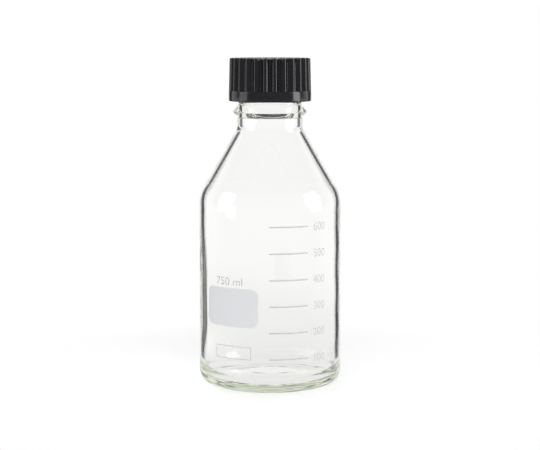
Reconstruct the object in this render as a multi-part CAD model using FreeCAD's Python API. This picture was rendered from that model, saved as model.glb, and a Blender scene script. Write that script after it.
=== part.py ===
import FreeCAD, Part
import math
import os

os.makedirs("parts", exist_ok=True)
V = FreeCAD.Vector

# Reagent bottle, millimetres. The origin is the middle of the ring it stands on, +Z is up along the bottle's
# axis, and the graduations face -Y.

# Glass: straight body, shoulder, cone and neck
body_r = 46.5
body_h = 118.3
wall = 3.0
base_t = 4.8
push_up = 2.0
dome_r = 15.8
stand_r = 31.6
base_blend = 25.0
heel_r = 7.5
inner_heel_r = 10.0
shoulder_r = 22.7
shoulder_turn = 38.7
cone_angle = 30.2
kink_run = 0.6
kink_blend = 1.5
inner_kink_blend = 4.5
neck_r = 21.3
neck_h = 7.1
neck_blend = 8.0

# Glass: bead ring below the cap
bead_out = 3.1
bead_under_h = 3.6
bead_top_h = 4.9
bead_tip_r = 0.7
bead_root_r = 1.0
bead_top_root_r = 2.0

# Glass: finish that takes the cap, and the mouth
finish_r = 20.6
finish_h = 18.6
lip_r = 19.4
lip_h = 5.4
lip_round = 1.3
lip_step_r = 0.5
neck_bore_r = 17.4
bore_r = 15.5
bore_blend = 6.0

# Pouring ring pressed over the lip
ring_t = 1.3
ring_skirt_t = 0.9
ring_skirt_h = 4.0
ring_gap = 0.3
ring_set_in = 0.6
ring_round = 0.4

# Two-layer seal held in the cap
facing_t = 0.4
facing_step = 0.4
seal_t = 1.6
seal_gap = 0.5

# Screw cap
cap_bore_r = 22.9
cap_h = 27.8
cap_top_t = 2.6
band_r = 26.95
band_h = 6.9
band_round = 0.5
ledge_h = 0.4
grip_r = 26.7
grip_draft = 1.3
rim_bevel = 0.8
rib_count = 26
rib_crown_r = 1.6
valley_r = 0.7
valley_depth = 2.2
runout_r = 3.8
runout_exit = 70.0
runout_ease = 0.1
cut_past = 1.0

# Heights that follow from the sizes above
turn = math.radians(shoulder_turn)
slope = math.tan(math.radians(cone_angle))
inner_r = body_r - wall
kink_r = body_r - shoulder_r * (1 - math.cos(turn))
kink_z = body_h + shoulder_r * math.sin(turn)
neck_z = kink_z + (kink_r - neck_r) / slope
bead_z = neck_z + neck_h
tip_z = bead_z + bead_under_h
finish_z = tip_z + bead_top_h
lip_z = finish_z + finish_h
mouth_z = lip_z + lip_h
ring_z = mouth_z + ring_t
facing_z = ring_z + facing_t
seal_z = facing_z + seal_t
cap_z = seal_z + cap_top_t
skirt_z = cap_z - cap_h
grip_z = skirt_z + band_h


def corner_arc(before, corner, after, radius):
    """Start, middle and end of the arc that rounds one corner of an outline."""
    p = V(before[0], 0, before[1])
    q = V(corner[0], 0, corner[1])
    s = V(after[0], 0, after[1])
    u = (p - q).normalize()
    w = (s - q).normalize()
    half = u.getAngle(w) / 2
    reach = radius / math.tan(half)
    reach = min(reach, 0.999 * (p - q).Length, 0.999 * (s - q).Length)
    fitted = reach * math.tan(half)
    axis = (u + w).normalize()
    middle = q + axis * (fitted / math.sin(half) - fitted)
    return q + u * reach, middle, q + w * reach


def outline_face(corners):
    """Flat face in the XZ plane; each corner is (radius, height) or (radius, height, rounding)."""
    edges = []
    first = None
    last = None
    count = len(corners)
    for i in range(count):
        corner = corners[i]
        rounding = corner[2] if len(corner) > 2 else 0
        if rounding > 0:
            start, middle, end = corner_arc(corners[i - 1], corner, corners[(i + 1) % count], rounding)
        else:
            start = V(corner[0], 0, corner[1])
            end = start
        if last is not None and (start - last).Length > 1e-6:
            edges.append(Part.makeLine(last, start))
        if rounding > 0:
            edges.append(Part.Arc(start, middle, end).toShape())
        if first is None:
            first = start
        last = end
    if (first - last).Length > 1e-6:
        edges.append(Part.makeLine(last, first))
    return Part.Face(Part.Wire(edges))


def turned(corners):
    """Solid of revolution about the Z axis."""
    return outline_face(corners).revolve(V(0, 0, 0), V(0, 0, 1), 360)


# Glass bottle: one outline that runs up the outside, over the lip and down the inside
inner_shoulder_r = shoulder_r - wall
inner_kink_r = body_r - shoulder_r + inner_shoulder_r * math.cos(turn) - kink_run * math.sin(turn)
inner_kink_z = body_h + inner_shoulder_r * math.sin(turn) + kink_run * math.cos(turn)
inner_neck_z = inner_kink_z + (inner_kink_r - neck_bore_r) / slope
shoulder_corner = math.tan(turn / 2)
outside = [
    (0, push_up),
    (dome_r, push_up, base_blend),
    (stand_r, 0, base_blend),
    (body_r, 0, heel_r),
    (body_r, body_h + shoulder_r * shoulder_corner, shoulder_r),
    (kink_r - kink_run * math.sin(turn), kink_z + kink_run * math.cos(turn), kink_blend),
    (neck_r, neck_z, neck_blend),
    (neck_r, bead_z, bead_root_r),
    (neck_r + bead_out, tip_z, bead_tip_r),
    (finish_r, finish_z, bead_top_root_r),
    (finish_r, lip_z, lip_step_r),
    (lip_r, lip_z + (finish_r - lip_r), lip_step_r),
    (lip_r, mouth_z, lip_round),
]
inside = [
    (bore_r, mouth_z, lip_round),
    (bore_r, lip_z, bore_blend),
    (neck_bore_r, finish_z, bore_blend),
    (neck_bore_r, inner_neck_z, neck_blend),
    (inner_kink_r, inner_kink_z, inner_kink_blend),
    (inner_r, body_h + inner_shoulder_r * shoulder_corner, inner_shoulder_r),
    (inner_r, base_t, inner_heel_r),
    (stand_r, base_t, base_blend),
    (dome_r, base_t + push_up, base_blend),
    (0, base_t + push_up),
]
glass_bottle = turned(outside + inside)

# Pouring ring: flat on the lip, with a skirt round the outside of it
skirt_in = lip_r + ring_gap
skirt_out = skirt_in + ring_skirt_t
pouring_ring = turned([
    (bore_r + ring_set_in, mouth_z),
    (skirt_in, mouth_z),
    (skirt_in, mouth_z - ring_skirt_h),
    (skirt_out, mouth_z - ring_skirt_h),
    (skirt_out, ring_z, ring_round),
    (bore_r + ring_set_in, ring_z, ring_round),
])

# Seal: a thin inert facing that meets the pouring ring, and the soft disc behind it
seal_r = cap_bore_r - seal_gap
seal_facing = Part.makeCylinder(seal_r - facing_step, facing_t, V(0, 0, ring_z))
seal_disc = Part.makeCylinder(seal_r, seal_t, V(0, 0, facing_z))

# Screw cap: the grip is a ring of round ribs with round valleys between them, narrowed upwards by its draft
pitch = math.radians(360.0 / rib_count)


def polar(radius, angle, height):
    """Point at a radius and an angle about the Z axis."""
    return V(radius * math.cos(angle), radius * math.sin(angle), height)


def flank_lean(crown_r):
    """Angle of the flanks' faces to the crown's, where a straight flank is tangent to crown and valley."""
    rib_at = crown_r - rib_crown_r
    dip = polar(crown_r - valley_depth + valley_r, pitch / 2, 0)
    across = V(dip.x - rib_at, dip.y, 0)
    swing = math.acos((rib_crown_r + valley_r) / across.Length)
    return math.atan2(across.y, across.x) - swing


def grip_wire(height, crown_r):
    """Cross-section of the grip: crowns and valleys joined by straight flanks tangent to both."""
    rib_at = crown_r - rib_crown_r
    dip_at = crown_r - valley_depth + valley_r
    face = flank_lean(crown_r)
    edges = []
    for rib in range(rib_count):
        axis = -math.pi / 2 + (rib - 0.5) * pitch
        centre = polar(rib_at, axis, height)
        next_dip = polar(dip_at, axis + pitch / 2, height)
        next_rib = polar(rib_at, axis + pitch, height)
        start = centre + polar(rib_crown_r, axis - face, 0)
        crown = polar(crown_r, axis, height)
        end = centre + polar(rib_crown_r, axis + face, 0)
        down = next_dip - polar(valley_r, axis + face, 0)
        floor = polar(crown_r - valley_depth, axis + pitch / 2, height)
        up = next_dip - polar(valley_r, axis + pitch - face, 0)
        onward = next_rib + polar(rib_crown_r, axis + pitch - face, 0)
        edges.append(Part.Arc(start, crown, end).toShape())
        edges.append(Part.makeLine(end, down))
        edges.append(Part.Arc(down, floor, up).toShape())
        edges.append(Part.makeLine(up, onward))
    return Part.Wire(edges)


draft = math.tan(math.radians(grip_draft))
top_grip_r = grip_r - draft * (cap_z - grip_z)
grip = Part.makeLoft([grip_wire(skirt_z, grip_r + draft * band_h), grip_wire(cap_z, top_grip_r)], True, True)

# The rim's bevel and the band are turned; the bore takes the neck and the seal
envelope = turned([
    (0, skirt_z),
    (band_r, skirt_z, band_round),
    (band_r, cap_z - rim_bevel),
    (top_grip_r, cap_z - rim_bevel),
    (top_grip_r - rim_bevel, cap_z),
    (0, cap_z),
])
band = turned([
    (0, skirt_z),
    (band_r, skirt_z, band_round),
    (band_r, grip_z - ledge_h),
    (band_r - ledge_h, grip_z),
    (0, grip_z),
])
bore = Part.makeCylinder(cap_bore_r, seal_z - skirt_z + cut_past, V(0, 0, skirt_z - cut_past))

# At the top each valley is carried inwards round a bend and leaves through the flat of the top
runout_z = cap_z - runout_r * math.sin(math.radians(runout_exit))
crown_there = grip_r - draft * (runout_z - grip_z)
floor_r = crown_there - valley_depth
lean = flank_lean(crown_there) - pitch / 2
tip_r = valley_r - runout_ease
bottom = V(floor_r + runout_ease, 0, runout_z)
dip = V(floor_r + valley_r, 0, runout_z)
left = dip + V(-tip_r * math.cos(lean), tip_r * math.sin(lean), 0)
right = V(left.x, -left.y, runout_z)
reach = (crown_there + cut_past - left.x) / math.sin(lean)
left_out = left + V(math.sin(lean), math.cos(lean), 0) * reach
right_out = V(left_out.x, -left_out.y, runout_z)
section = Part.Face(Part.Wire([
    Part.Arc(left, bottom, right).toShape(),
    Part.makeLine(right, right_out),
    Part.makeLine(right_out, left_out),
    Part.makeLine(left_out, left),
]))
runout = section.revolve(V(floor_r - runout_r, 0, runout_z), V(0, -1, 0), 90)
runouts = []
for rib in range(rib_count):
    cutter = runout.copy()
    cutter.rotate(V(0, 0, 0), V(0, 0, 1), -90 + rib * 360.0 / rib_count)
    runouts.append(cutter)
screw_cap = grip.common(envelope).fuse(band).cut(bore).cut(Part.makeCompound(runouts)).removeSplitter()

pieces = {
    "glass_bottle": glass_bottle,
    "pouring_ring": pouring_ring,
    "seal_facing": seal_facing,
    "seal_disc": seal_disc,
    "screw_cap": screw_cap,
}
for name in pieces:
    shape = pieces[name]
    solid = shape.Solids[0] if len(shape.Solids) == 1 else shape
    solid.exportStep("parts/" + name + ".step")
    print(name, "solids", len(shape.Solids), "valid", shape.isValid(), "volume", round(shape.Volume, 1))
print("mouth at", round(mouth_z, 2), "cap from", round(skirt_z, 2), "to", round(cap_z, 2))
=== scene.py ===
# %% [markdown]
# # A clear glass reagent bottle with a ribbed black screw cap
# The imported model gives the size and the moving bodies: the bottle, the seal that rises with the screw, and
# the cap that turns. Everything made here sits in that same frame, in metres, and rides on one of those
# bodies. Sizes are written in millimetres, as on a drawing, and MM turns them into metres.

# %% Load the frame and keep its box
import math

import bmesh
import bpy
from mathutils import Matrix, Vector


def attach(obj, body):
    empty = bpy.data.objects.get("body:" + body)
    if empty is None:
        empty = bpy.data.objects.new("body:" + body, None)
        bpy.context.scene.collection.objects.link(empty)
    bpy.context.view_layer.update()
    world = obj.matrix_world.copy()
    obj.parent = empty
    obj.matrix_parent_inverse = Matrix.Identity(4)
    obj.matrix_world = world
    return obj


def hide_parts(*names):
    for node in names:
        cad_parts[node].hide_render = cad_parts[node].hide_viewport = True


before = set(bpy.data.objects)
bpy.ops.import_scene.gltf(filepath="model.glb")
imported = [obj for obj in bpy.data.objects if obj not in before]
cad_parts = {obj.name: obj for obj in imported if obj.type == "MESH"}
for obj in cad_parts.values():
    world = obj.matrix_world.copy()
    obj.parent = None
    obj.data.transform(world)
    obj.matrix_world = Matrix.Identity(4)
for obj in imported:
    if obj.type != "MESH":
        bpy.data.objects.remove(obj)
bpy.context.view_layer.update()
MM = 0.001
FULL_TURN = 2 * math.pi
WHITE = (1, 1, 1, 1)
scene = bpy.context.scene
scene.view_settings.view_transform = "Standard"

# %% [markdown]
# ## Drawing a profile with operators
# A bottle is turned, so its shape is one line drawn in the XZ plane and spun round the Z axis. The line is
# drawn the way a draughtsman would: a vertex is extruded along each straight run, and spun round a centre at
# each rounded corner. Spinning a single vertex leaves a true arc, so every radius here is the radius on the
# part.

# %% Profile tools
LONGEST_SHARE = 0.999
SAME_PLACE, NO_LENGTH = 1e-7, 1e-8


def corner_turn(before, corner, after, radius):
    """Where a rounded corner starts, the centre of its arc, and the signed angle that it turns through."""
    first, middle, last = (Vector(point[:2]) for point in (before, corner, after))
    back = (first - middle).normalized()
    onward = (last - middle).normalized()
    half = back.angle(onward) / 2
    longest = LONGEST_SHARE * (first - middle).length, LONGEST_SHARE * (last - middle).length
    reach = min(radius / math.tan(half), *longest)
    fitted = reach * math.tan(half)
    centre = middle + (back + onward).normalized() * (fitted / math.sin(half))
    side = (middle - first).x * (last - middle).y - (middle - first).y * (last - middle).x
    return middle + back * reach, centre, math.copysign(math.pi - 2 * half, side)


def run_to(bm, vert, target, step):
    """Extrudes a vertex in a straight run to a target (radius, height), in pieces no longer than a step."""
    goal = Vector((target[0] * MM, 0, target[1] * MM))
    start = vert.co.copy()
    length = (goal - start).length
    if length < SAME_PLACE:
        return vert
    count = max(1, math.ceil(length / (step * MM)))
    for i in range(count):
        vert = bmesh.ops.extrude_vert_indiv(bm, verts=[vert])["verts"][0]
        vert.co = start.lerp(goal, (i + 1) / count)
    return vert


def draw_profile(bm, corners, step, arc_step):
    """Draws an open profile through corners of (radius, height, rounding), in millimetres and degrees."""
    vert = bm.verts.new((corners[0][0] * MM, 0, corners[0][1] * MM))
    for i in range(1, len(corners)):
        corner = corners[i]
        if len(corner) > 2 and i + 1 < len(corners):
            start, centre, turn = corner_turn(corners[i - 1], corner, corners[i + 1], corner[2])
            vert = run_to(bm, vert, start, step)
            steps = max(2, math.ceil(abs(math.degrees(turn)) / arc_step))
            arc = bmesh.ops.spin(bm, geom=[vert], cent=(centre.x * MM, 0, centre.y * MM), axis=(0, -1, 0),
                                 angle=turn, steps=steps, use_merge=False, use_duplicate=False)
            vert = arc["geom_last"][0]
        else:
            vert = run_to(bm, vert, corner, step)


def turn_round(bm, steps):
    """Spins the drawn profile a full turn about the Z axis and closes the seam and the poles."""
    bmesh.ops.spin(bm, geom=bm.verts[:] + bm.edges[:], cent=(0, 0, 0), axis=(0, 0, 1), angle=FULL_TURN,
                   steps=steps, use_merge=True, use_duplicate=False)
    bmesh.ops.remove_doubles(bm, verts=bm.verts[:], dist=SAME_PLACE)
    bmesh.ops.dissolve_degenerate(bm, edges=bm.edges[:], dist=NO_LENGTH)
    bmesh.ops.recalc_face_normals(bm, faces=bm.faces[:])


print("profiles are drawn to", SAME_PLACE, "m")


# %% Shared helpers for a piece
def finish_piece(bm, name, material, body, replaced=None):
    """Turns a bmesh into a smooth named object that rides on a body and may take the place of a node."""
    mesh = bpy.data.meshes.new(name)
    bm.to_mesh(mesh)
    bm.free()
    mesh.shade_smooth()
    piece = bpy.data.objects.new(name, mesh)
    scene.collection.objects.link(piece)
    mesh.materials.append(material)
    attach(piece, body)
    if replaced:
        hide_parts(replaced)
    print(name, "faces", len(mesh.polygons), "on", body)
    return piece


def ease(low, high, value):
    """Smooth step from 0 at low to 1 at high."""
    t = min(1.0, max(0.0, (value - low) / (high - low)))
    return t * t * (3 - 2 * t)


print("half way up an eased step is", ease(0.0, 1.0, 0.5))

# %% [markdown]
# ## Materials
# A short helper makes a node, sets its options, and either links or sets each input. With it every material
# reads as a list of what feeds what. Four smaller helpers stand for sums that several trees need. The
# plastics share one group: the faint orange-peel that a mould leaves, as a height for the bump and a mask
# that breaks up the gloss.


# %% Node helpers
def wire(tree, kind, inputs=None, **options):
    """Adds a node, sets its options, and links or sets its inputs."""
    node = tree.nodes.new(kind)
    for key, value in options.items():
        setattr(node, key, value)
    for key, value in (inputs or {}).items():
        if isinstance(value, bpy.types.NodeSocket):
            tree.links.new(value, node.inputs[key])
        else:
            node.inputs[key].default_value = value
    return node


def new_material(name):
    """An empty node material with its output."""
    material = bpy.data.materials.new(name)
    material.use_nodes = True
    material.node_tree.nodes.clear()
    print("material", name)
    return material, material.node_tree, wire(material.node_tree, "ShaderNodeOutputMaterial")


def fit(tree, value, limits, results=(0.0, 1.0), shape="SMOOTHSTEP"):
    """Takes a value between two limits to a value between two results, smoothly or in a straight line."""
    node = wire(tree, "ShaderNodeMapRange", {"Value": value, "From Min": limits[0], "From Max": limits[1],
                "To Min": results[0], "To Max": results[1]}, interpolation_type=shape)
    return node.outputs["Result"]


def times(tree, a, b):
    """The product of two values."""
    return wire(tree, "ShaderNodeMath", {0: a, 1: b}, operation="MULTIPLY").outputs[0]


def blend(tree, mask, a, b):
    """The value a where the mask is 0 and b where it is 1."""
    return wire(tree, "ShaderNodeMix", {0: mask, 2: a, 3: b}).outputs[0]


def over(tree, count, limit, operation="GREATER_THAN"):
    """1 where a light path has more, or fewer, turns of one kind behind it than a limit."""
    return wire(tree, "ShaderNodeMath", {0: count, 1: limit}, operation=operation).outputs[0]


# %% Moulded-skin group
moulded_skin = bpy.data.node_groups.new("moulded_skin", "ShaderNodeTree")
for socket, direction in (("Grain Size", "INPUT"), ("Blotch Size", "INPUT"),
                          ("Grain", "OUTPUT"), ("Blotch", "OUTPUT")):
    moulded_skin.interface.new_socket(socket, in_out=direction, socket_type="NodeSocketFloat")
skin_in = wire(moulded_skin, "NodeGroupInput")
skin_place = wire(moulded_skin, "ShaderNodeTexCoord")
skin_grain = wire(moulded_skin, "ShaderNodeTexNoise", {"Vector": skin_place.outputs["Object"],
                  "Scale": skin_in.outputs["Grain Size"], "Detail": 3.0, "Roughness": 0.6})
skin_blotch = wire(moulded_skin, "ShaderNodeTexNoise", {"Vector": skin_place.outputs["Object"],
                   "Scale": skin_in.outputs["Blotch Size"], "Detail": 2.0, "Roughness": 0.5})
wire(moulded_skin, "NodeGroupOutput", {"Grain": skin_grain.outputs["Fac"],
     "Blotch": skin_blotch.outputs["Fac"]})
print("group", moulded_skin.name, "sockets", [s.name for s in moulded_skin.interface.items_tree])

# %% Moulded plastic and rubber
BLOTCH_SIZE, BLOTCH_SPREAD, FACING_UP = 90.0, (0.3, 0.7), (0.97, 0.99)


def moulded(name, dark, light, gloss, grain_size, grain_depth, top_gloss=None):
    """A moulded finish: colour and roughness vary a little with the skin, and the grain is a bump."""
    material, tree, output = new_material(name)
    skin = wire(tree, "ShaderNodeGroup", {}, node_tree=moulded_skin)
    skin.inputs["Grain Size"].default_value = grain_size
    skin.inputs["Blotch Size"].default_value = BLOTCH_SIZE
    colour = wire(tree, "ShaderNodeMix", {0: skin.outputs["Blotch"], 6: (*dark, 1), 7: (*light, 1)},
                  data_type="RGBA")
    roughness = fit(tree, skin.outputs["Blotch"], BLOTCH_SPREAD, gloss, "LINEAR")
    if top_gloss:
        normal = wire(tree, "ShaderNodeNewGeometry").outputs["True Normal"]
        facing = wire(tree, "ShaderNodeSeparateXYZ", {0: normal})
        on_top = fit(tree, facing.outputs["Z"], FACING_UP, shape="LINEAR")
        roughness = blend(tree, on_top, roughness, top_gloss)
    bump = wire(tree, "ShaderNodeBump", {"Height": skin.outputs["Grain"], "Strength": 1.0,
                "Distance": grain_depth})
    surface = wire(tree, "ShaderNodeBsdfPrincipled", {"Base Color": colour.outputs[2],
                   "Roughness": roughness, "Normal": bump.outputs["Normal"]})
    tree.links.new(surface.outputs["BSDF"], output.inputs["Surface"])
    return material


print("moulded blotches of about", round(1 / BLOTCH_SIZE / MM), "mm")

# %% [markdown]
# ## Clear glass
# The bottle is blown from clear borosilicate glass. It is one Principled surface with full transmission, on
# a mesh that has both its outer and its inner wall, so light bends at each face as in the real wall. A plain
# absorption in the volume gives the faint green of thick glass at the heel. Lamps are let through, so the
# print and the floor behind the glass are lit; without that a lamp would see the glass as solid. The
# renderer stops a path after a few mirror bounces, and one that is still inside the thick heel would come
# back black. Real glass passes that light on, so the glass gives such paths a painted glow, pale and
# streaky, in place of black.

# %% Glass
clear_glass, tree, output = new_material("clear_glass")
GLASS_IOR, RIPPLE_SIZE, RIPPLE_DEPTH = 1.473, 38.0, 0.00004
MIRROR_LIMIT, TURN_LIMIT = 3.5, 10.5
GLOW_STREAK_SIZE, GLOW_STREAK_SPREAD, GLOW_STREAK_LEVEL = 150.0, (0.40, 0.56), (0.22, 1.25)
LAMP_TONE, GLOW_TONE = (0.93, 0.95, 0.94, 1), (0.78, 0.80, 0.74, 1)
DEPTH_TONE, DEPTH_DENSITY = (0.52, 0.60, 0.36, 1), 7.5
place = wire(tree, "ShaderNodeTexCoord").outputs["Object"]
ripple = wire(tree, "ShaderNodeTexNoise", {"Vector": place, "Scale": RIPPLE_SIZE, "Detail": 1.0})
ripple_bump = wire(tree, "ShaderNodeBump", {"Height": ripple.outputs["Fac"], "Strength": 1.0,
                   "Distance": RIPPLE_DEPTH})
glass_surface = wire(tree, "ShaderNodeBsdfPrincipled", {"Base Color": WHITE, "Roughness": 0.0,
                     "IOR": GLASS_IOR, "Transmission Weight": 1.0, "Normal": ripple_bump.outputs["Normal"]})
print("glass index", GLASS_IOR)

# %% Glass: long paths, lamps and depth
glass_path = wire(tree, "ShaderNodeLightPath")
many_mirrors = over(tree, glass_path.outputs["Glossy Depth"], MIRROR_LIMIT)
many_turns = over(tree, glass_path.outputs["Ray Depth"], TURN_LIMIT)
cut_short = wire(tree, "ShaderNodeMath", {0: many_mirrors, 1: many_turns}, operation="MAXIMUM").outputs[0]
# Painted glow: paths cut short inside the glass emit a pale light in streaks instead of going black.
glow_streak = wire(tree, "ShaderNodeTexNoise", {"Vector": place, "Scale": GLOW_STREAK_SIZE, "Detail": 2.0})
glow_streak_level = fit(tree, glow_streak.outputs["Fac"], GLOW_STREAK_SPREAD, GLOW_STREAK_LEVEL, "LINEAR")
inner_glow = wire(tree, "ShaderNodeEmission", {"Color": GLOW_TONE, "Strength": glow_streak_level})
glass_long = wire(tree, "ShaderNodeMixShader", {0: cut_short, 1: glass_surface.outputs["BSDF"],
                  2: inner_glow.outputs["Emission"]})
lamp_way = wire(tree, "ShaderNodeBsdfTransparent", {"Color": LAMP_TONE})
glass_mix = wire(tree, "ShaderNodeMixShader", {0: glass_path.outputs["Is Shadow Ray"],
                 1: glass_long.outputs["Shader"], 2: lamp_way.outputs["BSDF"]})
glass_depth = wire(tree, "ShaderNodeVolumeAbsorption", {"Color": DEPTH_TONE, "Density": DEPTH_DENSITY})
tree.links.new(glass_mix.outputs["Shader"], output.inputs["Surface"])
tree.links.new(glass_depth.outputs["Volume"], output.inputs["Volume"])
print("paths cut short after", math.ceil(MIRROR_LIMIT), "mirror bounces glow", GLOW_STREAK_LEVEL)

# %% [markdown]
# ## The glass bottle
# The profile runs from the pushed-up middle of the base, out over the heel, up the straight side, round the
# shoulder, up the cone, over the bead, along the neck and lip, and back down the inside. The screw thread is
# raised on the neck afterwards by moving the skin outwards along a helix, and the inside wall is given the
# slow thick and thin places of blown glass, which draw the dark lines that such a bottle shows along its
# edges.

# %% Bottle sizes
BODY_R, BODY_H, WALL = 46.5, 118.3, 3.0
BASE_T, PUSH_UP, DOME_R, STAND_R, BASE_BLEND = 4.8, 2.0, 15.8, 31.6, 25.0
HEEL_R, INNER_HEEL_R = 7.5, 10.0
SHOULDER_R, SHOULDER_TURN, CONE_ANGLE = 22.7, math.radians(38.7), math.radians(30.2)
KINK_RUN, KINK_BLEND, INNER_KINK_BLEND = 0.6, 1.5, 4.5
NECK_R, NECK_H, NECK_BLEND = 21.3, 7.1, 8.0
BEAD_OUT, BEAD_UNDER_H, BEAD_TOP_H, BEAD_TIP_R, BEAD_FOOT_BLEND = 3.1, 3.6, 4.9, 0.7, 1.0
FINISH_R, FINISH_H, FINISH_BLEND = 20.6, 18.6, 2.0
LIP_R, LIP_H, LIP_ROUND, LIP_EDGE = 19.4, 5.4, 1.3, 0.5
NECK_BORE_R, BORE_R, BORE_BLEND = 17.4, 15.5, 6.0
print("body", 2 * BODY_R, "mm across, wall", WALL, "mm")

# %% Heights and radii that follow from them
kink_in, kink_up = KINK_RUN * math.sin(SHOULDER_TURN), KINK_RUN * math.cos(SHOULDER_TURN)
kink_r = BODY_R - SHOULDER_R * (1 - math.cos(SHOULDER_TURN))
kink_z = BODY_H + SHOULDER_R * math.sin(SHOULDER_TURN)
neck_z = kink_z + (kink_r - NECK_R) / math.tan(CONE_ANGLE)
bead_z = neck_z + NECK_H
tip_z = bead_z + BEAD_UNDER_H
finish_z = tip_z + BEAD_TOP_H
lip_z = finish_z + FINISH_H
mouth_z = lip_z + LIP_H
inner_r = BODY_R - WALL
inner_shoulder_r = SHOULDER_R - WALL
inner_kink_r = BODY_R - SHOULDER_R + inner_shoulder_r * math.cos(SHOULDER_TURN) - kink_in
inner_kink_z = BODY_H + inner_shoulder_r * math.sin(SHOULDER_TURN) + kink_up
inner_neck_z = inner_kink_z + (inner_kink_r - NECK_BORE_R) / math.tan(CONE_ANGLE)
shoulder_corner = math.tan(SHOULDER_TURN / 2)
print("mouth at", round(mouth_z, 2), "mm")

# %% Thread shape
PITCH, THREAD_H, THREAD_UP, THREAD_TURNS = 4.0, 1.7, 4.2, 2.6
THREAD_FADE, THREAD_SIDE = 0.12, (0.45, 1.35)
thread_first = finish_z + THREAD_UP


def thread_rise(angle, height, first, turns):
    """How far a thread stands up: a rounded ridge on a right-hand helix, faded at both ends."""
    along = (height - first) / PITCH - angle / FULL_TURN
    ridge = round(along)
    turn = angle / FULL_TURN + ridge
    if turn <= 0 or turn >= turns:
        return 0.0
    fade = ease(0, THREAD_FADE, turn) * ease(0, THREAD_FADE, turns - turn)
    return THREAD_H * fade * (1 - ease(*THREAD_SIDE, abs(along - ridge) * PITCH))


print("thread of", THREAD_TURNS, "turns from", round(thread_first, 2), "mm")

# %% Thick and thin wall
LEFT_SWELL, RIGHT_SWELL = 1.5, 0.2
SWELL_RISES, SWELL_FALLS, WALL_RISES, WALL_FALLS = (14, 40), (45, 115), (14, 24), (111, 118)
RIPPLES = (0.05, 7.0, 2.0), (0.03, 4.3, -3.0)


def wall_shift(angle, height):
    """Slow change of the inside radius of the blown wall, in millimetres: thicker low down on the left."""
    left = -LEFT_SWELL * ease(*SWELL_RISES, height) * (1 - ease(*SWELL_FALLS, height))
    right = -RIGHT_SWELL
    waves = sum(size * math.sin(height / length + lobes * angle) for size, length, lobes in RIPPLES)
    drift = (right + left) / 2 + (right - left) / 2 * math.cos(angle)
    return (drift + waves) * ease(*WALL_RISES, height) * (1 - ease(*WALL_FALLS, height))


print("wall swells by", LEFT_SWELL, "mm on the left")

# %% Draw and spin the bottle
PROFILE_STEP, PROFILE_ARC, BOTTLE_STEPS, NECK_CUTS, ON_NECK = 2.5, 6.0, 168, 8, 0.01
bm = bmesh.new()
outside = [
    (0, PUSH_UP), (DOME_R, PUSH_UP, BASE_BLEND), (STAND_R, 0, BASE_BLEND), (BODY_R, 0, HEEL_R),
    (BODY_R, BODY_H + SHOULDER_R * shoulder_corner, SHOULDER_R),
    (kink_r - kink_in, kink_z + kink_up, KINK_BLEND),
    (NECK_R, neck_z, NECK_BLEND), (NECK_R, bead_z, BEAD_FOOT_BLEND),
    (NECK_R + BEAD_OUT, tip_z, BEAD_TIP_R), (FINISH_R, finish_z, FINISH_BLEND),
    (FINISH_R, lip_z, LIP_EDGE), (LIP_R, lip_z + FINISH_R - LIP_R, LIP_EDGE), (LIP_R, mouth_z, LIP_ROUND),
]
inside = [
    (BORE_R, mouth_z, LIP_ROUND), (BORE_R, lip_z, BORE_BLEND), (NECK_BORE_R, finish_z, BORE_BLEND),
    (NECK_BORE_R, inner_neck_z, NECK_BLEND), (inner_kink_r, inner_kink_z, INNER_KINK_BLEND),
    (inner_r, BODY_H + inner_shoulder_r * shoulder_corner, inner_shoulder_r),
    (inner_r, BASE_T, INNER_HEEL_R), (STAND_R, BASE_T, BASE_BLEND), (DOME_R, BASE_T + PUSH_UP, BASE_BLEND),
    (0, BASE_T + PUSH_UP),
]
draw_profile(bm, outside + inside, PROFILE_STEP, PROFILE_ARC)
neck_edges = [e for e in bm.edges if all(abs(v.co.x / MM - FINISH_R) < ON_NECK and v.co.z / MM > tip_z
                                         for v in e.verts)]
bmesh.ops.subdivide_edges(bm, edges=neck_edges, cuts=NECK_CUTS, use_grid_fill=False)
turn_round(bm, BOTTLE_STEPS)
print("spun glass of", len(bm.verts), "points")

# %% Raise the thread and move the inside wall
NECK_SKIN, WALL_FOOT, WALL_REACH, WALL_SKIN = 0.02, 6.0, 6.0, 0.05
for vert in bm.verts:
    radius, height = math.hypot(vert.co.x, vert.co.y) / MM, vert.co.z / MM
    angle = math.atan2(vert.co.y, vert.co.x) % FULL_TURN
    shift = 0.0
    if abs(radius - FINISH_R) < NECK_SKIN and height > finish_z:
        shift = thread_rise(angle, height, thread_first, THREAD_TURNS)
    elif BASE_T + WALL_FOOT < height < BODY_H and inner_r - WALL_REACH < radius < inner_r + WALL_SKIN:
        shift = wall_shift(angle, height)
    if shift:
        vert.co.x *= (radius + shift) / radius
        vert.co.y *= (radius + shift) / radius
finish_piece(bm, "bottle_glass", clear_glass, "bottle", "glass_bottle")

# %% [markdown]
# ## The screw cap
# The cap is a black moulding: a smooth band at the foot, and above it a ring of round ribs with narrow round
# valleys between them. One rib and one valley are drawn flat with spun arcs, copied round the axis, and the
# ring is then lifted level by level, drawing in with the mould's draft. Near the top the valleys bend inwards
# over the edge and run out on the flat, which is where the light catches them.

# %% Cap sizes
cap_black = moulded("cap_black", dark=(0.010, 0.010, 0.012), light=(0.016, 0.016, 0.018),
                    gloss=(0.10, 0.16), grain_size=2600.0, grain_depth=0.000006, top_gloss=0.45)
RING_T, FACING_T, SEAL_T, CAP_TOP_T, CAP_H = 1.3, 0.4, 1.6, 2.6, 27.8
CAP_BORE_R, BORE_CHAMFER, BORE_ROWS, CAP_THREAD_TURNS = 22.9, 0.4, 84, 3.0
BAND_R, BAND_H, BAND_ROUND, BAND_STEPS = 26.95, 6.9, 0.5, 4
LEDGE_H, LEDGE_ROUND, LEDGE_SHARE = 0.4, 0.06, 0.05
GRIP_R, DRAFT, RIM_BEVEL, TOP_RIM = 26.7, math.tan(math.radians(1.3)), 0.8, 0.6
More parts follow.
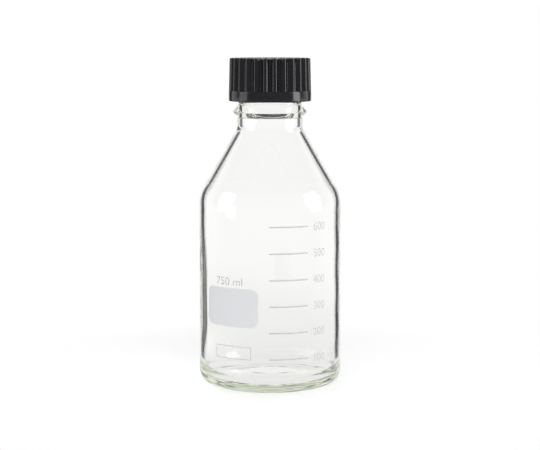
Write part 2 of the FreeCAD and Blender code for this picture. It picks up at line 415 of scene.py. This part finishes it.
# At the foot of the grip: a height about it, the valleys' share of depth there, and the height drafted so far
GRIP_FOOT = (-0.1, 0.35, 0.0), (0.02, 0.97, 0.0), (0.35, 1.0, 0.35)
RIB_COUNT, RIB_CROWN_R, RIB_STEPS, RIB_MERGE = 26, 1.6, 10, 1e-6
VALLEY_R, VALLEY_DEPTH, VALLEY_STEPS = 0.7, 2.2, 6
RUNOUT_R, RUNOUT_EXIT, RUNOUT_STEPS, RUNOUT_POWER = 3.8, math.radians(70.0), 10, 3
CAP_SHARP = math.radians(42)
seal_z = mouth_z + RING_T + FACING_T + SEAL_T
cap_z = seal_z + CAP_TOP_T
skirt_z = cap_z - CAP_H
grip_z = skirt_z + BAND_H
print("cap from", round(skirt_z, 2), "to", round(cap_z, 2), "mm")

# %% One rib and valley
bm = bmesh.new()
half_pitch = math.pi / RIB_COUNT
rib_at = GRIP_R - RIB_CROWN_R
dip_at = GRIP_R - VALLEY_DEPTH + VALLEY_R
dip = Vector((dip_at * math.cos(half_pitch), dip_at * math.sin(half_pitch)))
across = dip - Vector((rib_at, 0))
face = math.atan2(across.y, across.x) - math.acos((RIB_CROWN_R + VALLEY_R) / across.length)
start = bm.verts.new(((rib_at + RIB_CROWN_R * math.cos(face)) * MM, -RIB_CROWN_R * math.sin(face) * MM, 0))
crown = bmesh.ops.spin(bm, geom=[start], cent=(rib_at * MM, 0, 0), axis=(0, 0, 1), angle=2 * face,
                       steps=RIB_STEPS, use_merge=False, use_duplicate=False)["geom_last"][0]
flank = bmesh.ops.extrude_vert_indiv(bm, verts=[crown])["verts"][0]
flank.co = ((dip.x - VALLEY_R * math.cos(face)) * MM, (dip.y - VALLEY_R * math.sin(face)) * MM, 0)
valley = bmesh.ops.spin(bm, geom=[flank], cent=(dip.x * MM, dip.y * MM, 0), axis=(0, 0, 1),
                        angle=-2 * (face - half_pitch), steps=VALLEY_STEPS, use_merge=False,
                        use_duplicate=False)["geom_last"][0]
onward = bmesh.ops.extrude_vert_indiv(bm, verts=[valley])["verts"][0]
onward.co = Matrix.Rotation(2 * half_pitch, 3, "Z") @ start.co
print("one rib of", len(bm.verts), "points")

# %% The ring of ribs
bmesh.ops.spin(bm, geom=bm.verts[:] + bm.edges[:], cent=(0, 0, 0), axis=(0, 0, 1),
               angle=FULL_TURN * (RIB_COUNT - 1) / RIB_COUNT, steps=RIB_COUNT - 1, use_merge=False,
               use_duplicate=True)
valley_to_front = Matrix.Rotation(-math.pi / 2 - half_pitch, 3, "Z")
bmesh.ops.rotate(bm, verts=bm.verts[:], cent=(0, 0, 0), matrix=valley_to_front)
bmesh.ops.remove_doubles(bm, verts=bm.verts[:], dist=RIB_MERGE)
ring = {v: (GRIP_R - math.hypot(v.co.x, v.co.y) / MM, math.atan2(v.co.y, v.co.x)) for v in bm.verts}
edges = bm.edges[:]
print("rib ring of", len(ring), "points")


# %% Placing and lifting a ring
def set_ring(points, radius, height, keep=1.0, inwards=0.0):
    """Places one ring: its valleys keep a share of their depth, and may be drawn further in."""
    for vert, (depth, angle) in points.items():
        share = (depth / VALLEY_DEPTH) ** RUNOUT_POWER
        r = (radius - keep * depth - inwards * share) * MM
        vert.co = (r * math.cos(angle), r * math.sin(angle), height * MM)


def lift(points, loop):
    """Extrudes the ring and returns the new ring with the same depths and angles."""
    made = bmesh.ops.extrude_edge_only(bm, edges=loop)["geom"]
    fresh = [g for g in made if isinstance(g, bmesh.types.BMVert)]
    lifted = set(fresh)
    loop = [g for g in made if isinstance(g, bmesh.types.BMEdge) and all(v in lifted for v in g.verts)]
    old = {v: e.other_vert(v) for v in fresh for e in v.link_edges if e.other_vert(v) in points}
    return {v: points[old[v]] for v in fresh}, loop


# %% Levels of the outside: foot, band, ledge, drafted grip, run-out and bevelled rim
# A level is a radius, a height, the share of their depth that the valleys keep, and how far they draw in
levels = []
for i in range(BAND_STEPS + 1):
    turn = i * math.pi / (2 * BAND_STEPS)
    foot_in, foot_up = BAND_ROUND * (1 - math.sin(turn)), BAND_ROUND * (1 - math.cos(turn))
    levels.append((BAND_R - foot_in, skirt_z + foot_up, 0.0, 0.0))
levels.append((BAND_R, grip_z - LEDGE_H, 0.0, 0.0))
levels.append((BAND_R - LEDGE_ROUND, grip_z - LEDGE_H / 2, LEDGE_SHARE, 0.0))
for rise, keep, drafted in GRIP_FOOT:
    levels.append((GRIP_R - DRAFT * drafted, grip_z + rise, keep, 0.0))
bend_z = cap_z - RUNOUT_R * math.sin(RUNOUT_EXIT)
levels.append((GRIP_R - DRAFT * (bend_z - grip_z), bend_z, 1.0, 0.0))
for i in range(1, RUNOUT_STEPS + 1):
    turn = RUNOUT_EXIT * i / RUNOUT_STEPS
    height = bend_z + RUNOUT_R * math.sin(turn)
    bevel = RIM_BEVEL * (1 - math.sqrt(max(0.0, 1 - ease(cap_z - RIM_BEVEL, cap_z, height) ** 2)))
    drafted_r = GRIP_R - DRAFT * (height - grip_z)
    levels.append((drafted_r - bevel, height, 1.0, RUNOUT_R * (1 - math.cos(turn))))
levels.append((levels[-1][0] - TOP_RIM, *levels[-1][1:]))
set_ring(ring, *levels[0])
foot, foot_edges = dict(ring), edges
for level in levels[1:]:
    ring, edges = lift(ring, edges)
    set_ring(ring, *level)
bmesh.ops.contextual_create(bm, geom=edges)
print("cap lifted through", len(levels), "levels")

# %% The inside: under the foot, up the threaded bore, and across the roof that backs the seal
ring, edges = lift(foot, foot_edges)
set_ring(ring, CAP_BORE_R + BORE_CHAMFER, skirt_z, 0.0)
for i in range(BORE_ROWS + 1):
    ring, edges = lift(ring, edges)
    height = skirt_z + BORE_CHAMFER + (seal_z - skirt_z - BORE_CHAMFER) * i / BORE_ROWS
    set_ring(ring, CAP_BORE_R, height, 0.0)
    for vert, (depth, angle) in ring.items():
        rise = thread_rise(angle % FULL_TURN, vert.co.z / MM, thread_first + PITCH / 2, CAP_THREAD_TURNS)
        vert.co.x *= (CAP_BORE_R - rise) / CAP_BORE_R
        vert.co.y *= (CAP_BORE_R - rise) / CAP_BORE_R
bmesh.ops.contextual_create(bm, geom=edges)
bmesh.ops.recalc_face_normals(bm, faces=bm.faces[:])
cap = finish_piece(bm, "ribbed_cap", cap_black, "cap", "screw_cap")
cap.data.set_sharp_from_angle(angle=CAP_SHARP)

# %% [markdown]
# ## Pouring ring and seal
# These sit under the cap and show only when it is raised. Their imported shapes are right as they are, so they
# keep them and get a finish: a milky plastic ring, a white inert facing and a soft grey-white silicone disc.

# %% Finishes for the small pieces
ring_plastic = moulded("ring_plastic", dark=(0.62, 0.65, 0.65), light=(0.70, 0.72, 0.72), gloss=(0.28, 0.38),
                       grain_size=1500.0, grain_depth=0.00001)
facing_white = moulded("facing_white", dark=(0.78, 0.78, 0.76), light=(0.84, 0.84, 0.82), gloss=(0.30, 0.42),
                       grain_size=1200.0, grain_depth=0.00001)
seal_silicone = moulded("seal_silicone", dark=(0.52, 0.49, 0.45), light=(0.58, 0.55, 0.51), gloss=(0.5, 0.62),
                        grain_size=2200.0, grain_depth=0.00002)
for node, finish_of_node in (("pouring_ring", ring_plastic), ("seal_facing", facing_white),
                             ("seal_disc", seal_silicone)):
    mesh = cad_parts[node].data
    mesh.materials.clear()
    mesh.materials.append(finish_of_node)
    print(node, "finished with", finish_of_node.name)

# %% [markdown]
# ## Fired-on print
# The scale, its numbers, the capacity, the writing panel and an empty outlined box are a thin white enamel
# fired onto the glass. Each is made flat, sliced into narrow strips so that it can follow the curve, and bent
# round the body a hair's breadth outside the glass. An image texture could carry the print too, but a mesh
# keeps its edges sharp at any distance.

# %% Enamel
SPECK_SIZE, SPECK_DEPTH, ENAMEL_ROUGHNESS = 900.0, 0.00001, 0.55


def enamel(name, low, high):
    """Fired enamel with a fine speckle between two tones."""
    material, tree, output = new_material(name)
    place = wire(tree, "ShaderNodeTexCoord").outputs["Object"]
    speck = wire(tree, "ShaderNodeTexNoise", {"Vector": place, "Scale": SPECK_SIZE, "Detail": 4.0})
    tone = wire(tree, "ShaderNodeMix", {0: speck.outputs["Fac"], 6: (*low, 1), 7: (*high, 1)},
                data_type="RGBA")
    bump = wire(tree, "ShaderNodeBump", {"Height": speck.outputs["Fac"], "Distance": SPECK_DEPTH})
    surface = wire(tree, "ShaderNodeBsdfPrincipled", {"Base Color": tone.outputs[2],
                   "Roughness": ENAMEL_ROUGHNESS, "Normal": bump.outputs["Normal"]})
    tree.links.new(surface.outputs["BSDF"], output.inputs["Surface"])
    return material


# The lines, numbers, capacity mark and box are the panel's white enamel coloured a darker grey: painted shade.
shaded_enamel = enamel("shaded_enamel", (0.55, 0.56, 0.57), (0.63, 0.64, 0.65))
panel_enamel = enamel("panel_enamel", (0.76, 0.77, 0.79), (0.81, 0.82, 0.84))

# %% Print tools
PRINT_T, STRIP, CORNER_STEPS = 0.02, 0.8, 6
print_r = BODY_R + PRINT_T


def bend_onto_body(bm, name, material):
    """Slices a flat print in the XZ plane into narrow strips and bends it round the front of the body."""
    xs = [v.co.x for v in bm.verts]
    strip = STRIP * MM
    for i in range(math.floor(min(xs) / strip), math.ceil(max(xs) / strip) + 1):
        bmesh.ops.bisect_plane(bm, geom=bm.verts[:] + bm.edges[:] + bm.faces[:], dist=NO_LENGTH,
                               plane_co=(i * strip, 0, 0), plane_no=(1, 0, 0))
    for vert in bm.verts:
        angle = vert.co.x / (BODY_R * MM)
        vert.co = (print_r * MM * math.sin(angle), -print_r * MM * math.cos(angle), vert.co.z)
    bmesh.ops.recalc_face_normals(bm, faces=bm.faces[:])
    for f in bm.faces:
        middle = f.calc_center_median()
        if f.normal.x * middle.x + f.normal.y * middle.y < 0:
            f.normal_flip()
    finish_piece(bm, name, material, "bottle")


def flat_panel(bm, left, right, low, high, rounding=0.0):
    """A flat rectangle, in millimetres of arc and height, with rounded corners if asked."""
    places = (left, low), (right, low), (right, high), (left, high)
    corners = [bm.verts.new((x * MM, 0, z * MM)) for x, z in places]
    bm.faces.new(corners)
    if rounding:
        bmesh.ops.bevel(bm, geom=corners, offset=rounding * MM, offset_type="OFFSET", affect="VERTICES",
                        segments=CORNER_STEPS, profile=0.5, material=-1)


def flat_text(bm, words, left, middle, size, stretch):
    """Plain letters turned to a mesh, upright in the XZ plane, in millimetres."""
    curve = bpy.data.curves.new("letters", "FONT")
    curve.body = words
    curve.size = size * MM
    curve.align_y = "CENTER"
    holder = bpy.data.objects.new("letters", curve)
    scene.collection.objects.link(holder)
    bpy.context.view_layer.update()
    mesh = bpy.data.meshes.new_from_object(holder.evaluated_get(bpy.context.evaluated_depsgraph_get()))
    bpy.data.objects.remove(holder)
    bpy.data.curves.remove(curve)
    before = set(bm.verts)
    bm.from_mesh(mesh)
    bpy.data.meshes.remove(mesh)
    for vert in (v for v in bm.verts if v not in before):
        vert.co = (left * MM + vert.co.x * stretch, 0, middle * MM + vert.co.y)


print("print stands", PRINT_T, "mm off the glass")

# %% Scale and numbers
SCALE_COUNT, SCALE_ML, SCALE_LOW, SCALE_STEP = 6, 100, 22.9, 16.94
SCALE_LEFT, SCALE_RIGHT, LINE_T = -0.6, 25.3, 0.85
NUMBER_LEFT, NUMBER_DROP, NUMBER_SIZE, NUMBER_STRETCH = 29.4, 0.6, 7.2, 0.92
bm = bmesh.new()
for i in range(SCALE_COUNT):
    height = SCALE_LOW + SCALE_STEP * i
    flat_panel(bm, SCALE_LEFT, SCALE_RIGHT, height - LINE_T / 2, height + LINE_T / 2)
bend_onto_body(bm, "scale_lines", shaded_enamel)
bm = bmesh.new()
for i in range(SCALE_COUNT):
    height = SCALE_LOW + SCALE_STEP * i - NUMBER_DROP
    flat_text(bm, str(SCALE_ML * (i + 1)), NUMBER_LEFT, height, NUMBER_SIZE, NUMBER_STRETCH)
bend_onto_body(bm, "scale_numbers", shaded_enamel)

# %% Capacity, writing panel and outlined box
MARK_LEFT, MARK_MIDDLE, MARK_STRETCH = -38.6, 71.9, 1.06
PANEL_LEFT, PANEL_RIGHT, PANEL_LOW, PANEL_HIGH, PANEL_ROUND = -47.0, -7.6, 43.0, 67.9, 5.0
BOX_LEFT, BOX_RIGHT, BOX_LOW, BOX_HIGH, BOX_T = -38.7, -12.2, 22.2, 30.6, 0.45
bm = bmesh.new()
flat_text(bm, "750 ml", MARK_LEFT, MARK_MIDDLE, NUMBER_SIZE, MARK_STRETCH)
bend_onto_body(bm, "capacity_mark", shaded_enamel)
bm = bmesh.new()
flat_panel(bm, PANEL_LEFT, PANEL_RIGHT, PANEL_LOW, PANEL_HIGH, PANEL_ROUND)
bend_onto_body(bm, "writing_panel", panel_enamel)
bm = bmesh.new()
for low in (BOX_LOW, BOX_HIGH - BOX_T):
    flat_panel(bm, BOX_LEFT, BOX_RIGHT, low, low + BOX_T)
for left in (BOX_LEFT, BOX_RIGHT - BOX_T):
    flat_panel(bm, left, left + BOX_T, BOX_LOW + BOX_T, BOX_HIGH - BOX_T)
bend_onto_body(bm, "marking_box", shaded_enamel)

# %% [markdown]
# ## The surroundings
# Clear glass on white is drawn by what its edges bend towards. A photographer stands it in white
# surroundings and puts a dark card on each side, out of view. Through the middle of the glass the white
# shows; in the wall near the edges the view is mirrored onto the cards, and that draws the dark lines. The
# world and the floor do the same here: white all round, with a dark sector on each side that is shown only to
# light that was mirrored inside the glass wall, so that no card is seen through the glass from another side.
# To plain mirror views, such as the shine of the cap, the room in front is dim and the wall behind is white.

# %% Cards and kinds of light
STUDIO_LEVEL, CARD_LEVEL = 0.16, 0.08
CARD_FROM, CARD_TO, CARD_SOFT = math.radians(23.0), math.radians(47.0), math.radians(2.5)
ONCE, FEW_FACES = 0.5, 3.5


def card_mask(tree, place, offset):
    """1 on the two dark cards, by the bearing of a direction or of a place, and the place's three parts."""
    split = wire(tree, "ShaderNodeSeparateXYZ", {0: place})
    aside = wire(tree, "ShaderNodeMath", {0: split.outputs["X"]}, operation="ABSOLUTE").outputs[0]
    beyond = wire(tree, "ShaderNodeMath", {0: aside, 1: offset}, operation="SUBTRACT").outputs[0]
    bearing = wire(tree, "ShaderNodeMath", {0: beyond, 1: split.outputs["Y"]}, operation="ARCTAN2").outputs[0]
    inner = fit(tree, bearing, (CARD_FROM - CARD_SOFT, CARD_FROM + CARD_SOFT))
    outer = fit(tree, bearing, (CARD_TO - CARD_SOFT, CARD_TO + CARD_SOFT), (1.0, 0.0))
    return times(tree, inner, outer), split


def light_kinds(tree):
    """Masks for camera rays, for light that came through glass, and for light mirrored inside its wall."""
    path = wire(tree, "ShaderNodeLightPath")
    through = over(tree, path.outputs["Transmission Depth"], ONCE)
    mirrored = over(tree, path.outputs["Glossy Depth"], ONCE)
    in_wall = over(tree, path.outputs["Transmission Depth"], FEW_FACES, "LESS_THAN")
    return path.outputs["Is Camera Ray"], through, times(tree, mirrored, in_wall)


print("cards from", round(math.degrees(CARD_FROM)), "to", round(math.degrees(CARD_TO)), "degrees")

# %% World
CARD_TOP, SKY_FALLS, SKY_LEVELS, WALL_BEHIND = (0.3, 0.45), (0.35, 0.8), (1.0, 0.7), (0.1, 0.5)
world = bpy.data.worlds.new("studio")
scene.world = world
world.use_nodes = True
tree = world.node_tree
tree.nodes.clear()
seen, through, wall_ray = light_kinds(tree)
card, sky = card_mask(tree, wire(tree, "ShaderNodeTexCoord").outputs["Generated"], 0.0)
low_card = times(tree, times(tree, card, wall_ray), fit(tree, sky.outputs["Z"], CARD_TOP, (1.0, 0.0)))
open_level = fit(tree, sky.outputs["Z"], SKY_FALLS, SKY_LEVELS)
through_level = blend(tree, low_card, open_level, CARD_LEVEL)
behind = fit(tree, sky.outputs["Y"], WALL_BEHIND)
mirror_level = blend(tree, low_card, blend(tree, behind, STUDIO_LEVEL, open_level), CARD_LEVEL)
level = blend(tree, through, mirror_level, through_level)
level = blend(tree, seen, level, 1.0)
background = wire(tree, "ShaderNodeBackground", {"Color": WHITE, "Strength": level})
wire(tree, "ShaderNodeOutputWorld", {"Surface": background.outputs["Background"]})
print("studio level", STUDIO_LEVEL, "in front, white behind")

# %% [markdown]
# ## The floor
# The bottle stands on a plain white sheet. To the camera the sheet near the bottle is white paint under the
# lamps, so it keeps the bottle's soft shadow, and further out it goes over into plain white, the same as the
# world, so that no horizon shows. To all other light it is a plain glowing white with the same two dark
# sectors as the world, a little dimmer close to the bottle and, for light that has not come through glass,
# in front of it.

# %% Floor sheet
FLOOR_R, FLOOR_STEPS, FLOOR_DROP = 4.0, 96, 0.0003
bm = bmesh.new()
bmesh.ops.create_circle(bm, cap_ends=True, radius=FLOOR_R, segments=FLOOR_STEPS)
bmesh.ops.translate(bm, verts=bm.verts[:], vec=(0, 0, -FLOOR_DROP))
floor_mesh = bpy.data.meshes.new("floor")
bm.to_mesh(floor_mesh)
bm.free()
floor = bpy.data.objects.new("floor", floor_mesh)
scene.collection.objects.link(floor)
print("floor of", FLOOR_R, "m radius")

# %% Floor paint
FLOOR_PAINT, LIT_EDGE, CARD_NEAR = (0.95, 0.95, 0.95, 1), (0.10, 0.22), (0.10, 0.14)
LEVEL_RISES, NEAR_LEVELS, FRONT_RISES, FRONT_LEVELS = (0.03, 0.5), (0.86, 1.0), (-0.3, 0.15), (0.3, 1.0)
floor_white, tree, output = new_material("floor_white")
seen, through, wall_ray = light_kinds(tree)
floor_place = wire(tree, "ShaderNodeTexCoord").outputs["Object"]
floor_away = wire(tree, "ShaderNodeVectorMath", {0: floor_place}, operation="LENGTH").outputs["Value"]
card, spot = card_mask(tree, floor_place, BODY_R * MM)
card = times(tree, times(tree, card, wall_ray), fit(tree, floor_away, CARD_NEAR))
floor_paint = wire(tree, "ShaderNodeBsdfDiffuse", {"Color": FLOOR_PAINT})
floor_far = wire(tree, "ShaderNodeEmission", {"Color": WHITE, "Strength": 1.0})
floor_seen = wire(tree, "ShaderNodeMixShader", {0: fit(tree, floor_away, LIT_EDGE),
                  1: floor_paint.outputs[0], 2: floor_far.outputs[0]})
open_level = fit(tree, floor_away, LEVEL_RISES, NEAR_LEVELS)
mirror_open = times(tree, open_level, fit(tree, spot.outputs["Y"], FRONT_RISES, FRONT_LEVELS))
level = blend(tree, card, blend(tree, through, mirror_open, open_level), CARD_LEVEL)
floor_glass = wire(tree, "ShaderNodeEmission", {"Color": WHITE, "Strength": level})
floor_mix = wire(tree, "ShaderNodeMixShader", {0: seen, 1: floor_glass.outputs[0], 2: floor_seen.outputs[0]})
tree.links.new(floor_mix.outputs["Shader"], output.inputs["Surface"])
floor_mesh.materials.append(floor_white)
print("floor paint goes over into white from", LIT_EDGE[0], "to", LIT_EDGE[1], "m")

# %% [markdown]
# ## Lamps
# Two tall boxes at the sides draw the bright lines on the ribs of the cap. A wide box above and a wide one
# in front light the print and the plastic evenly; those two are kept out of mirror views, because the glass
# would show them as hard white windows.


# %% Soft boxes
def softbox(name, place, aim, size, power, mirrored):
    """A rectangular studio lamp turned to face a point; it may be mirrored, but is not itself seen."""
    lamp = bpy.data.lights.new(name, "AREA")
    lamp.shape = "RECTANGLE"
    lamp.size, lamp.size_y = size
    lamp.energy = power
    holder = bpy.data.objects.new(name, lamp)
    holder.location = place
    holder.rotation_euler = (Vector(aim) - Vector(place)).to_track_quat("-Z", "Y").to_euler()
    holder.visible_camera = False
    holder.visible_glossy = holder.visible_transmission = mirrored
    scene.collection.objects.link(holder)
    print(name, "at", place, "power", power)


AIM_HIGH, AIM_LOW = (0, 0, 0.15), (0, 0, 0.1)
softbox("right_box", (1.00, -0.21, 0.35), AIM_HIGH, size=(0.42, 0.9), power=5.4, mirrored=True)
softbox("left_box", (-1.00, -0.21, 0.35), AIM_HIGH, size=(0.48, 0.9), power=2.2, mirrored=True)
softbox("top_box", (0.0, -0.10, 1.2), AIM_LOW, size=(1.2, 0.9), power=4.0, mirrored=False)
softbox("front_fill", (0.0, -1.30, 0.80), AIM_LOW, size=(2.0, 1.0), power=19.0, mirrored=False)

# %% [markdown]
# ## Camera
# The camera stands a metre in front of the bottle, a little above the cap, and looks down by a few degrees.
# Its distance was judged from how the printed lines and the rims curve. The lens is worked out from a focal
# length in pixels, which is what measuring a picture gives.

# %% Camera
CAMERA_AWAY, CAMERA_UP, CAMERA_PITCH = 1.0, 0.2294, math.radians(7.18)
FOCAL_PX, IMAGE_W, SENSOR_W = 1532.0, 540, 36.0
camera = bpy.data.cameras.new("camera")
camera.sensor_fit = "HORIZONTAL"
camera.sensor_width = SENSOR_W
camera.lens = SENSOR_W * FOCAL_PX / IMAGE_W
viewer = bpy.data.objects.new("camera", camera)
viewer.location = (0, -CAMERA_AWAY, CAMERA_UP)
viewer.rotation_euler = (math.pi / 2 - CAMERA_PITCH, 0, 0)
scene.collection.objects.link(viewer)
scene.camera = viewer
print("lens", round(camera.lens, 1), "mm")
